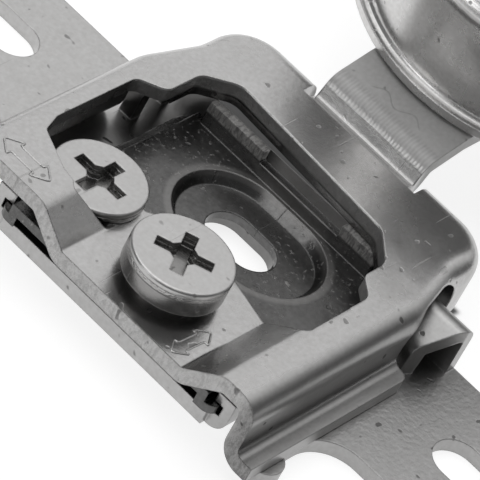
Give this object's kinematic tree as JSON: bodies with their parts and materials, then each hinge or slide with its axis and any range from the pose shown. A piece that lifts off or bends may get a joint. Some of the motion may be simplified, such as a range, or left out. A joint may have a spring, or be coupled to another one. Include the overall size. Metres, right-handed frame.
{
  "type": "concealed cup hinge",
  "caption": "Concealed cup hinge with a wing mounting plate, height and depth adjusting screws, a joggled arm tongue and a 35 mm door cup, shown open.",
  "frame": {"origin": "on the mounting face, midway between the two screw slots of the wings", "axes": "+X from the mounting plate to the door cup, +Y along one wing, +Z away from the cabinet side, towards the screw heads"},
  "size_m": [0.0774, 0.078, 0.0287],
  "materials": {
    "sheet_nickel": "nickel-plated sheet steel, satin",
    "cup_nickel": "nickel-plated, bright",
    "screw_nickel": "nickel-plated, fine turned",
    "spring_steel": "oiled spring steel",
    "sleeve_plastic": "moulded"
  },
  "bodies": {
    "plate": {"base_plate": "sheet_nickel"},
    "slide": {"slide_plate": "sheet_nickel"},
    "arm": {"arm_cover": "sheet_nickel", "roller_pin": "screw_nickel"},
    "height_screw": {"height_cam": "screw_nickel"},
    "depth_screw": {"depth_cam": "screw_nickel", "depth_washer": "screw_nickel"},
    "door_cup": {"cup": "cup_nickel", "pivot_pin": "screw_nickel", "pivot_sleeve_left": "sleeve_plastic", "pivot_sleeve_right": "sleeve_plastic", "closing_spring": "spring_steel", "spring_rivet": "screw_nickel"},
    "roller": {"cam_roller": "screw_nickel"}
  },
  "joints": [
    {"name": "depth_slide", "type": "slide", "parent": "plate", "child": "slide", "axis": [1, 0, 0], "range_m": [-0.00099, 0.00099]},
    {"name": "height_slide", "type": "slide", "parent": "slide", "child": "arm", "axis": [0, 1, 0], "range_m": [-0.00113, 0.00113]},
    {"name": "height_turn", "type": "hinge", "parent": "arm", "child": "height_screw", "pos_m": [-0.0115, 0.0089, 0.007], "axis": [0, 0, 1], "range_deg": [-45, 45]},
    {"name": "depth_turn", "type": "hinge", "parent": "slide", "child": "depth_screw", "pos_m": [-0.014, -0.0024, 0.0095], "axis": [0, 0, 1], "range_deg": [-45, 45]},
    {"name": "cup_swing", "type": "hinge", "parent": "arm", "child": "door_cup", "pos_m": [0.0275, -0.0002, 0.01754], "axis": [0, 1, 0], "range_deg": [0, 98]},
    {"name": "roller_turn", "type": "hinge", "parent": "arm", "child": "roller", "pos_m": [0.02943, -0.0002, 0.01984], "axis": [0, 1, 0], "range_deg": [0, 282]}
  ],
  "couplings": [
    {"joint": "depth_turn", "follows": "depth_slide", "rad_per_m": 793.2},
    {"joint": "height_turn", "follows": "height_slide", "rad_per_m": -694.2},
    {"joint": "roller_turn", "follows": "cup_swing", "ratio": 2.875}
  ]
}
